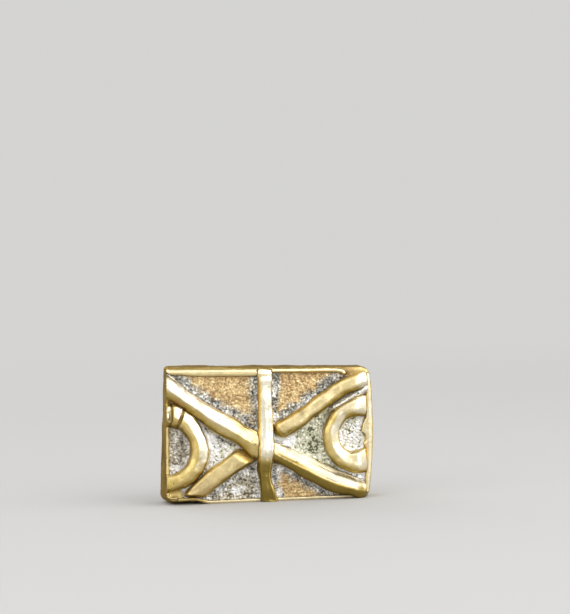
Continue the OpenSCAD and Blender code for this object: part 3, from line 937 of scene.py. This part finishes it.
def shape_floor(slab, pieces):
    """Shapes the slab's granular floor and its skin, and says where on the slab each point lies."""
    zone = SimpleNamespace()
    normals = slab.normals()
    zone.face = rise(-normals[:, 1], *FACING) * rise(slab.height(), -0.3, -0.1)
    zone.back = rise(normals[:, 1], *FACING)
    zone.smooth = rise(slab.near(*SMOOTH_CORNER), 0.1, 0.5)
    zone.plain = rise(highest(slab.near(*spot) for spot in PLAIN_SPOTS), *PLAIN_EDGE)
    top_strips = np.concatenate([pieces[node].points for node in TOP_STRIPS])
    top_slope, top_level = np.polyfit(top_strips[:, 0], top_strips[:, 2], 1)
    above_strips = rise(slab.z - top_slope * slab.x - top_level, *ARRIS_ABOVE)
    zone.floor = zone.face * (1 - zone.smooth) * (1 - above_strips) * (1 - zone.plain)
    slab.y += zone.face * above_strips * ARRIS_LEAN

    thread_tree = tree_of(pieces[node] for node in THREADS)
    rim_tree = tree_of(pieces[node] for node in RIMS)
    lift = highest([
        fillet(nearest_in(slab, *thread_tree)[1], *THREAD_FILLET),
        fillet(nearest_in(slab, *rim_tree)[1], *RIM_FILLET),
        zone.smooth * CORNER_RISE,
        slab.along(*WHITE_STRIPS[0]) * LEDGE_RISE,
    ])
    slab.y -= zone.face * lift

    zone.grain = grains(slab.points, GRAIN_SIZE, SEED)
    zone.strips = highest(slab.along(*line) for line in WHITE_STRIPS)
    zone.patches = highest(slab.along(*line) for line in WHITE_PATCHES)
    white_lines = np.maximum(zone.strips, zone.patches)
    rough = (zone.grain - 0.5) * GRAIN_HEIGHT * (1 - GRAIN_WORN * white_lines)
    wave_size, wave_height = FLOOR_WAVES
    slab.push(zone.floor * (rough + layered(slab.points, wave_size, FLOOR_SEED) * wave_height))
    skin = sum(
        layered(slab.points, size, seed, layers) * height
        for (size, height, layers), seed in zip(SLAB_SKIN, SKIN_SEEDS)
    )
    slab.push((1 - zone.floor) * skin)
    zone.pits = dent(slab, slab.height() < BACK_HEIGHT, *BACK_DENTS, BACK_SEED)
    zone.to_thread, zone.thread_far = nearest_in(slab, *thread_tree)
    zone.to_rim, zone.rim_far = nearest_in(slab, *rim_tree)
    zone.ridge = slab.bend(RIDGE_ROUNDS)
    return zone


# The patina, wear and painted light and shade of the pieces, as marks from 0 to 1 that the materials
# read


def find_fields(slab, zone):
    """Adds to the zone where each point lies among the fields between the threads."""
    right_of = slab.x - RIB_X
    above = slab.z - CROSS_Z
    edge = (-0.2, 0.3)
    zone.left = rise(-right_of * LEFT_SLOPE - np.abs(above), *edge)
    right = right_of * RIGHT_SLOPE + RIGHT_WIDER - np.abs(above - RIGHT_HIGHER)
    zone.right = rise(right, *edge) * (right_of > 0)
    zone.beside = np.maximum(zone.left, zone.right)
    zone.left_recess, zone.right_recess = (
        slab.near(x, z, radius * 2) > 0.5 for x, z, radius in (LEFT_RECESS, RIGHT_RECESS)
    )
    zone.lower_left = (right_of < 0) & (above < 0) & (zone.left < 0.5)
    zone.lower_right = (right_of > 0) & (above < 0) & (zone.right < 0.5)


def floor_patina(slab, zone):
    """The marks for the floor, its grains, its grey bands and white places, which differ by field."""
    patchy = layered(slab.points, 0.9, PATCHY_SEED)
    blotchy = layered(slab.points, 0.7, BLOTCHY_SEED, 2)
    by_diagonal = rise(zone.to_thread[:, 2], 0.1, 0.3)
    by_diagonal *= fall(zone.thread_far - patchy * 0.6, 0.6, 1.8)
    band = fall(zone.thread_far - patchy * 0.35, 0.5, 1.25) * (1 - zone.beside)
    band = np.where(zone.lower_left, 0.6 + 0.35 * band, np.maximum(band, zone.left * by_diagonal))
    recess_grey = 0.85 - 0.5 * fall(slab.x, -9.9, -9.2)

    white = zone.left * rise(0.8 + blotchy - by_diagonal * 1.4, 0.2, 0.55) * 0.9
    for field, blotches, share in (
        (zone.left_recess, (0.25, 0.5), 0.4),
        (zone.right_recess, (-0.6, -0.1), 0.9),
        (zone.lower_left, (0.25, 0.5), 0.6),
    ):
        white = np.where(field, rise(blotchy, *blotches) * share, white)
    edge_white = fall(zone.thread_far, 0.1, 0.5) * rise(patchy, 0.0, 0.4)
    broken = zone.patches * rise(blotchy + zone.patches * 0.6, 0.0, 0.5)
    zone.unbroken = rise(zone.strips, 0.1, 0.6)
    white = highest([white, edge_white * 0.6, broken, zone.unbroken])

    slab.marks["floor"] = zone.floor
    slab.marks["grain"] = zone.grain
    silvery = np.where(zone.lower_left, 0.45, zone.beside)
    slab.marks["silvery"] = np.where(zone.left_recess, 0.4, silvery)
    slab.marks["greyed"] = zone.floor * np.where(zone.left_recess, recess_grey, band)
    slab.marks["white"] = zone.floor * white
    zone.specks = zone.left_recess * rise(patchy, 0.1, 0.5) * 0.35
    zone.band = band


def slab_shade_and_grime(slab, zone):
    """The mark for painted shade as dark lines along threads and strips, darker below threads and
    inside the strips, for dark specks in the left recess, and for dark pits on the back.
    """
    # Painted shade: a line along a thread is darker where the thread lies above the point
    shaded_below = rise(0.4 * zone.to_thread[:, 0] + zone.to_thread[:, 2], -0.02, 0.08)
    inwards = zone.to_rim[:, 0] * slab.x + zone.to_rim[:, 2] * (slab.z - CROSS_Z)
    thread_shade_line = fall(zone.thread_far, 0.05, 0.15) * (0.5 + 0.5 * shaded_below)
    thread_shade_line *= 1 - 0.6 * zone.unbroken
    rim_shade_line = fall(zone.rim_far, 0.04, 0.14) * rise(inwards, -0.05, 0.1) * 0.8
    rim_shade_line *= 1 - 0.6 * rise(slab.x, 8.5, 9.2)
    lines = zone.floor * highest([thread_shade_line, rim_shade_line, zone.specks])
    slab.marks["shade_and_grime"] = np.maximum(lines, rise(zone.pits, 0.3, 1) * 0.35)


def slab_wear(slab, zone):
    """The marks for bare gold on edges, back and smooth corners, and for brown stains on the face."""
    handled = zone.back * rise(layered(slab.points, 4.0, HANDLED_SEED), -0.2, 0.6) * 0.25
    handled += zone.back * rise(zone.ridge, 0.0, 0.012) * 0.4
    bare = (1 - zone.floor) * np.maximum(handled, rise(zone.ridge, 0.03, 0.09) * 0.6)
    corner = rise(slab.near(*PLAIN_SPOTS[0]), *PLAIN_EDGE)
    golden = np.maximum(zone.smooth * 0.8, corner * 0.7)
    slab.marks["wear_and_highlight"] = np.maximum(bare * (1 - zone.face), zone.face * golden)
    slab.marks["stain_and_shade"] = zone.face * highest([
        slab.near(8.4, 12.7, 1.5) * 0.8,
        (zone.plain - corner) * 0.4,
        zone.lower_right * (1 - zone.band) * 0.4,
        zone.left_recess * 0.1,
    ])


def mark_raised(cast, slab_tree, others_tree):
    """The marks that all threads and strips have: grime with painted shade in seams, olive patina with
    painted shade on downward flanks, and pale wear with painted highlight where they face their flat's
    way.
    """
    near = nearest_in(cast, *others_tree)[1]
    seat = nearest_in(cast, *slab_tree)[1]
    normals = cast.normals()
    crest = rise(-normals[:, 1], 0.55, 0.95)
    shaded_below = rise(-normals[:, 2], 0.05, 0.75)
    worn = layered(cast.points, 1.1, WORN_SEED, 2)
    clean_end = np.maximum(rise(cast.x, 9.2, 9.7), cast.near(-10.2, 12.9, 1.2))
    # Painted shade in seams, darker on downward flanks and between pieces, with dark pits and scribed
    # marks
    cast.marks["shade_and_grime"] = highest([
        fall(seat, 0.06, 0.17) * (1 - crest) * (0.45 + 0.45 * shaded_below),
        fall(near, 0.03, 0.1) * (1 - 0.85 * clean_end),
        cast.pits * 0.8,
        cast.scribed * 0.35,
    ])
    cut_end = (cast.inside() < LEFT_DRAFT + LEFT_END) * rise(-normals[:, 0], 0.6, 0.9)
    # Olive patina, with painted shade on the flanks that face down
    cast.marks["patina_and_shade"] = np.clip((1 - crest) * 0.15 + shaded_below * 0.75 + worn * 0.15 + cut_end, 0, 0.85)
    cast.at_least("patina_and_shade", cast.scribed * 0.85)
    # Wear with painted highlight: paler where the surface faces its flat's way, towards the light
    towards = WORN.get(cast.node, (FORWARD,))[0]
    wear_and_highlight = rise(normals @ unit(towards), 0.72, 0.95) * (0.85 + 0.3 * worn)
    cast.marks["wear_and_highlight"] = wear_and_highlight * WEAR_AND_HIGHLIGHT_SHARE.get(cast.node, USUAL_SHARE) * (1 - cast.scribed)
    cast.marks["stain_and_shade"] = np.zeros(len(cast.points))


def mark_strips(pieces):
    """The upper and lower strips are evenly pale and olive on their outer flanks."""
    for node in ("top_left_rim", "top_right_rim", "bottom_right_rim", "bottom_left_rim"):
        strip = pieces[node]
        outer_flank = rise(np.abs(strip.normals()[:, 2]), 0.75, 0.95)
        strip.marks["wear_and_highlight"] = np.clip(strip.marks["wear_and_highlight"], 0.3, 0.45) * (1 - outer_flank)
        strip.marks["patina_and_shade"] = np.maximum(strip.marks["patina_and_shade"] * 0.4, outer_flank * 0.7)
    lip = pieces["bottom_left_rim"]
    left_part = fall(lip.x, -6.7, -5.9)
    lip.fade("wear_and_highlight", 0.8 * left_part)
    lip.at_least("patina_and_shade", 0.4 * left_part)


def mark_diagonal(cast):
    """The diagonal is painted pale as highlight above, olive as shade below, and white as highlight on
    its right half's upper flank.
    """
    normals = cast.normals()
    right_half = rise(cast.x, -1, 2)
    left_part = fall(cast.x, -4.5, -2.5)
    # Painted shade: olive on the lower flank, more on the right half
    shaded_lower_flank = rise(-normals[:, 2] + 0.35 * right_half, -0.3, 0.4)
    cast.at_least("patina_and_shade", shaded_lower_flank * (0.4 + 0.55 * right_half))
    cast.fade("wear_and_highlight", 0.8 * fall(normals[:, 2], 0, 0.45) * right_half)
    cast.fade("wear_and_highlight", 0.6 * (1 - left_part) * (1 - right_half))
    # Painted shade: brown on the lower flank near the left end
    cast.marks["stain_and_shade"] = cast.near(-8.95, 9.9, 1.3) * shaded_lower_flank * 0.8
    # Painted highlight on the left part's broad flat that faces up and right
    highlit_flat = rise(normals @ unit(UP_RIGHT), 0.5, 0.85) * left_part
    cast.at_least("wear_and_highlight", highlit_flat * 0.9)
    # Painted shade: the right half's lower half loses its pale and turns olive
    shaded_low_half = rise(midline(cast, 1) + 0.35 - cast.z, -0.1, 0.35) * right_half
    cast.fade("wear_and_highlight", 0.9 * shaded_low_half)
    cast.at_least("patina_and_shade", shaded_low_half * 0.6)
    # Painted highlight: white on the right half's upper flank
    highlit_flank = rise(normals[:, 2], 0.35, 0.7) * rise(cast.x, 3, 5)
    cast.at_least("wear_and_highlight", highlit_flank)
    cast.fade("patina_and_shade", 0.9 * highlit_flank)
    cast.fade("shade_and_grime", 0.5 * highlit_flank)


def mark_rib(cast):
    """The rib has painted highlight above the crossing, most at its top, and painted shade in olive
    below on its left flank.
    """
    normals = cast.normals()
    below = fall(cast.z, CROSS_Z - 1.6, CROSS_Z - 0.3)
    # Painted highlight on the front above the crossing, none below it
    front = rise(-normals[:, 1] + 0.3 * normals[:, 0], 0.6, 0.85)
    cast.at_least("wear_and_highlight", front * 0.9)
    cast.fade("wear_and_highlight", below)
    top = rise(cast.z, 11.6, 12.4) * rise(-normals[:, 1], 0.5, 0.8)
    cast.at_least("wear_and_highlight", top * 0.9)
    # Painted shade: olive on the left flank below the crossing
    shaded_left_flank = 1 - rise(normals[:, 0], 0.25, 0.65)
    cast.at_least("patina_and_shade", below * shaded_left_flank * 0.95)


def mark_arms(upper_arm, lower_arm):
    """The upper arm has two stains and a painted highlight on its right end, and the lower arm is
    browner towards its foot.
    """
    upper_arm.marks["stain_and_shade"] = np.maximum(
        upper_arm.near(3.5, 8.75, 0.55) * 0.6,
        upper_arm.near(8.6, 12.7, 1.0) * 0.5,
    )
    # Painted highlight on the upper arm's right end, where it faces right
    highlit_end = rise(upper_arm.x, 8.9, 9.4)
    highlit_end *= rise(upper_arm.normals() @ unit(RIGHTWARD), 0.6, 0.9)
    upper_arm.at_least("wear_and_highlight", highlit_end * 0.9)
    lower_arm.marks["stain_and_shade"] = 0.14 + fall(lower_arm.z, 1.2, 3.6) * 0.2
    foot = fall(lower_arm.z, 0.9, 1.8)
    lower_arm.fade("patina_and_shade", 0.7 * foot)
    lower_arm.fade("shade_and_grime", 0.5 * foot)


def mark_crescents(left, right):
    """The left crescent is less pale and more olive towards its foot, and the right one has painted
    highlight where its top faces up and forward.
    """
    upper_part = rise(left.z, 2.8, 4.8)
    left.marks["wear_and_highlight"] *= upper_part
    left.at_least("patina_and_shade", 0.28 * (1 - upper_part))
    # Painted highlight where the right crescent's top faces up and forward
    top = rise(right.normals() @ unit(UP_FORWARD), 0.8, 0.97)
    right.at_least("wear_and_highlight", top * 0.5)


# The pieces

slab = Cast("slab", SLAB_VOXEL, SLAB_ROUNDS)
pieces = {node: Cast(node, THREAD_VOXEL, THREAD_ROUNDS) for node in THREADS}
for node in RIMS:
    pieces[node] = Cast(node, RIM_VOXEL, RIM_ROUNDS, slope_of(node) if node in TOP_STRIPS else 0)

for cast in pieces.values():
    root_in_slab(cast)
shape_threads(pieces)
place_ends(pieces)
shape_strips(pieces)
lean_sides(slab, pieces)
zone = shape_floor(slab, pieces)

find_fields(slab, zone)
floor_patina(slab, zone)
slab_shade_and_grime(slab, zone)
slab_wear(slab, zone)
slab_tree = tree_of([slab])
for cast in pieces.values():
    mark_raised(cast, slab_tree, tree_of(other for other in pieces.values() if other is not cast))
mark_strips(pieces)
mark_diagonal(pieces["long_diagonal"])
mark_rib(pieces["centre_rib"])
mark_arms(pieces["upper_right_arm"], pieces["lower_left_arm"])
mark_crescents(pieces["left_crescent"], pieces["right_crescent"])

slab.finish(slab_brass(), "slab_brass")
thread_finish = thread_brass()
for cast in pieces.values():
    cast.finish(thread_finish, "thread_brass")


# Stage, light and camera, in metres

PALE = (0.66, 0.655, 0.645)
CEILING = (0.78, 0.78, 0.79)
# Share of the way up over which the surroundings go over into the ceiling
CEILING_FADE = (0.18, 0.8)
FLOOR_COLOUR = (0.54, 0.535, 0.525)
FLOOR_ROUGHNESS = 0.8
FLOOR_GLOSS = 0.1
FLOOR_RADIUS = 1.5
FLOOR_SIDES = 96
# Distances from the weight over which the floor goes over into the surroundings
FLOOR_FADE = (0.05, 0.30)
# The lights: place, width, height and level
SOFTBOXES = {
    "key": ((0.29, -0.20, 0.19), 0.44, 0.40, 1.75),
    "top": ((0.02, -0.14, 0.38), 0.30, 0.26, 1.2),
    "front": ((0.13, -0.37, 0.10), 0.20, 0.20, 1.1),
    "left": ((-0.30, -0.20, 0.14), 0.34, 0.34, 1.1),
    "back": ((-0.18, 0.34, 0.22), 0.30, 0.30, 1.3),
}


def pale_floor():
    """A round pale floor that passes into the surroundings without an edge."""
    mesh = bpy.data.meshes.new("floor")
    turns = [2 * math.pi * i / FLOOR_SIDES for i in range(FLOOR_SIDES)]
    corners = [(FLOOR_RADIUS * math.cos(turn), FLOOR_RADIUS * math.sin(turn), 0) for turn in turns]
    mesh.from_pydata(corners, [], [list(range(FLOOR_SIDES))])
    floor = new_object("floor", mesh)
    material, tree, shader = new_material("floor")
    plug(tree, shader.inputs["Base Color"], FLOOR_COLOUR)
    plug(tree, shader.inputs["Roughness"], FLOOR_ROUGHNESS)
    plug(tree, shader.inputs["Specular IOR Level"], FLOOR_GLOSS)
    place = tree.nodes.new("ShaderNodeTexCoord")
    length = tree.nodes.new("ShaderNodeVectorMath")
    length.operation = "LENGTH"
    tree.links.new(place.outputs["Object"], length.inputs[0])
    glow = tree.nodes.new("ShaderNodeEmission")
    plug(tree, glow.inputs["Color"], PALE)
    mix = tree.nodes.new("ShaderNodeMixShader")
    plug(tree, mix.inputs[0], between(tree, length.outputs["Value"], *FLOOR_FADE))
    tree.links.new(shader.outputs[0], mix.inputs[1])
    tree.links.new(glow.outputs[0], mix.inputs[2])
    tree.links.new(mix.outputs[0], tree.nodes["Material Output"].inputs["Surface"])
    mesh.materials.append(material)


def surroundings():
    """Pale to some way above the horizon, and brighter overhead."""
    world = bpy.data.worlds.new("studio")
    bpy.context.scene.world = world
    world.use_nodes = True
    tree = world.node_tree
    place = tree.nodes.new("ShaderNodeTexCoord")
    split = tree.nodes.new("ShaderNodeSeparateXYZ")
    tree.links.new(place.outputs["Generated"], split.inputs[0])
    colour = blend(tree, between(tree, split.outputs["Z"], *CEILING_FADE), PALE, CEILING)
    plug(tree, tree.nodes["Background"].inputs["Color"], colour)


def softbox(name, place, width, height, level):
    """A soft light, aimed at the weight, that shines at a level where 1 is white."""
    light = bpy.data.lights.new(name, "AREA")
    light.shape = "RECTANGLE"
    light.size = width
    light.size_y = height
    light.energy = level * math.pi * width * height
    lamp = new_object(name, light)
    lamp.location = place
    lamp.rotation_euler = (VIEW_POINT - Vector(place)).to_track_quat("-Z", "Y").to_euler()


def photo_camera():
    """The camera at the photograph's angle, with the weight where the photograph has it."""
    turn = Matrix.Rotation(VIEW_AZIMUTH, 4, "Z")
    tip = Matrix.Rotation(math.pi / 2 - VIEW_ELEVATION, 4, "X")
    roll = Matrix.Rotation(VIEW_ROLL, 4, "Z")
    seen = Vector((VIEW_PIXEL[0] - PICTURE[0] / 2, PICTURE[1] / 2 - VIEW_PIXEL[1], -FOCAL_PIXELS))
    aim = seen.rotation_difference(Vector((0, 0, -1))).to_matrix().to_4x4()
    data = bpy.data.cameras.new("camera")
    data.sensor_width = SENSOR_MM
    data.lens = FOCAL_PIXELS / max(PICTURE) * SENSOR_MM
    data.clip_start = MM
    camera = new_object("camera", data)
    back = Matrix.Translation((0, 0, FOCAL_PIXELS / PIXELS_PER_MM * MM))
    camera.matrix_world = Matrix.Translation(VIEW_POINT) @ turn @ tip @ roll @ back @ aim
    bpy.context.scene.camera = camera


pale_floor()
surroundings()
for name, settings in SOFTBOXES.items():
    softbox(name, *settings)
photo_camera()
bpy.context.scene.view_settings.view_transform = "Standard"
